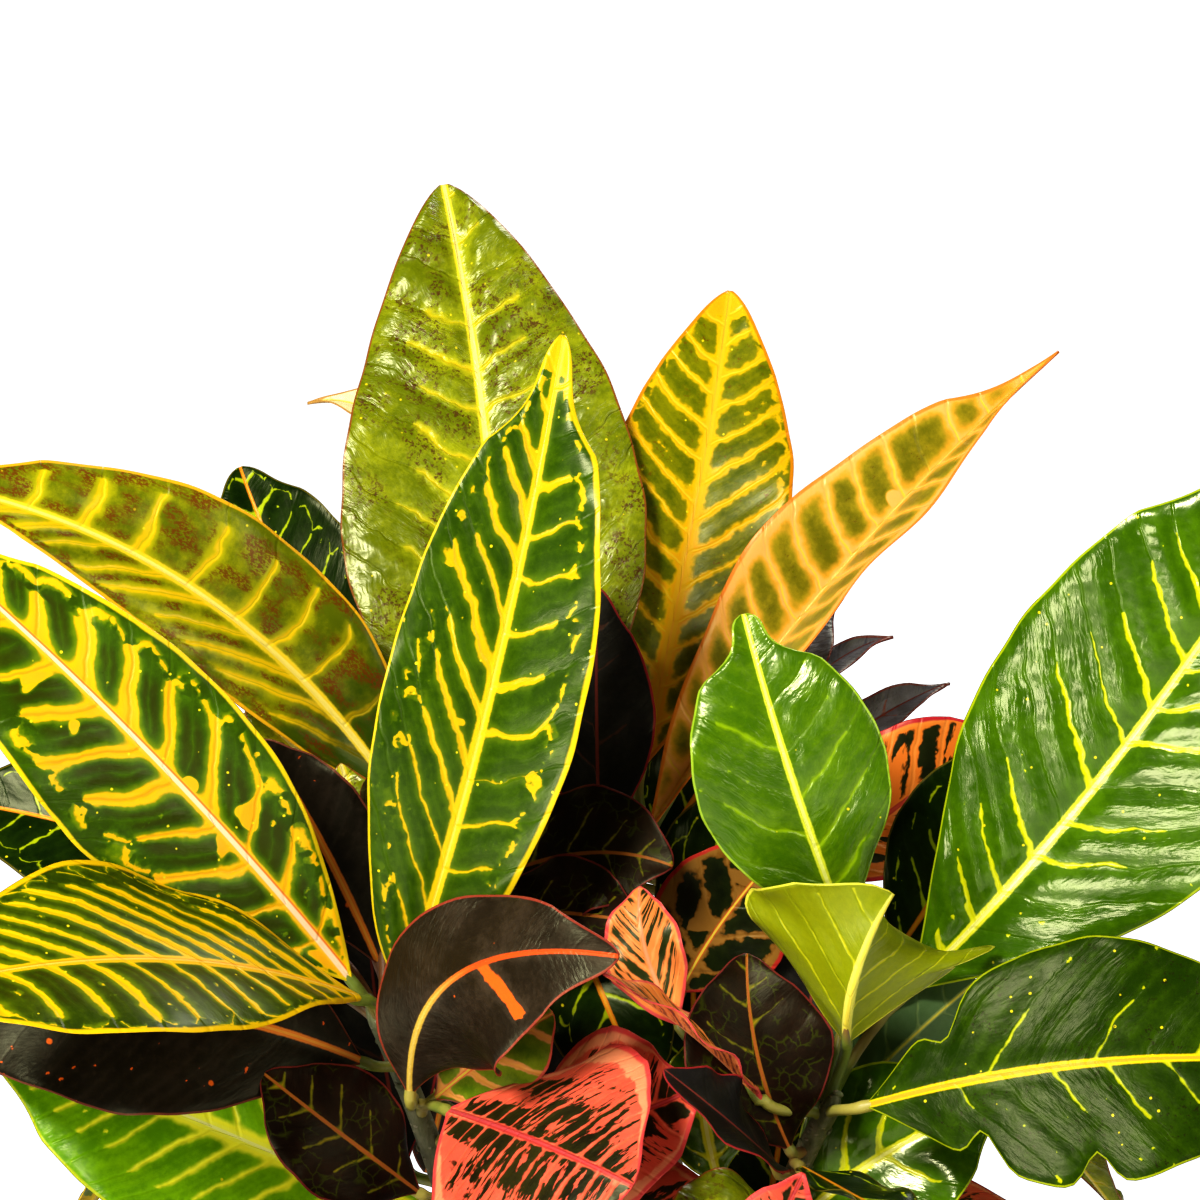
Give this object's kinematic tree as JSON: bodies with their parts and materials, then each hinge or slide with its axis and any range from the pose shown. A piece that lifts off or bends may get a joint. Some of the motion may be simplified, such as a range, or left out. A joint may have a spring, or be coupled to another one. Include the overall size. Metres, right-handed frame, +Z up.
{
  "type": "potted croton",
  "caption": "Bushy potted croton: broad leaves with bold veins in green, yellow, red and near-black on upright stems, in a plain round nursery pot of soil.",
  "frame": {"origin": "middle of the pot's flat underside", "axes": "+Z up, -Y towards the side that the picture shows, +X to its right"},
  "size_m": [0.4039, 0.3446, 0.5418],
  "materials": {
    "pot": "smooth moulded plastic, satin",
    "soil": "moist bark and peat compost, crumbly and matt",
    "leaf_green": "waxy living leaf, deep green with yellow veins, some leaves dark purple or red",
    "leaf_olive": "waxy living leaf, olive green with yellow veins and rusty freckles",
    "leaf_bright": "glossy living leaf, fresh green with yellow veins",
    "leaf_gold": "waxy living leaf, golden yellow with green islands, some leaves dark or red"
  },
  "bodies": {
    "root": {"pot": "pot", "soil": "soil", "leafy_stem_front_left": "leaf_green", "leafy_stem_back_left": "leaf_olive", "leafy_stem_front_right": "leaf_bright", "leafy_stem_back_right": "leaf_gold"}
  },
  "joints": []
}
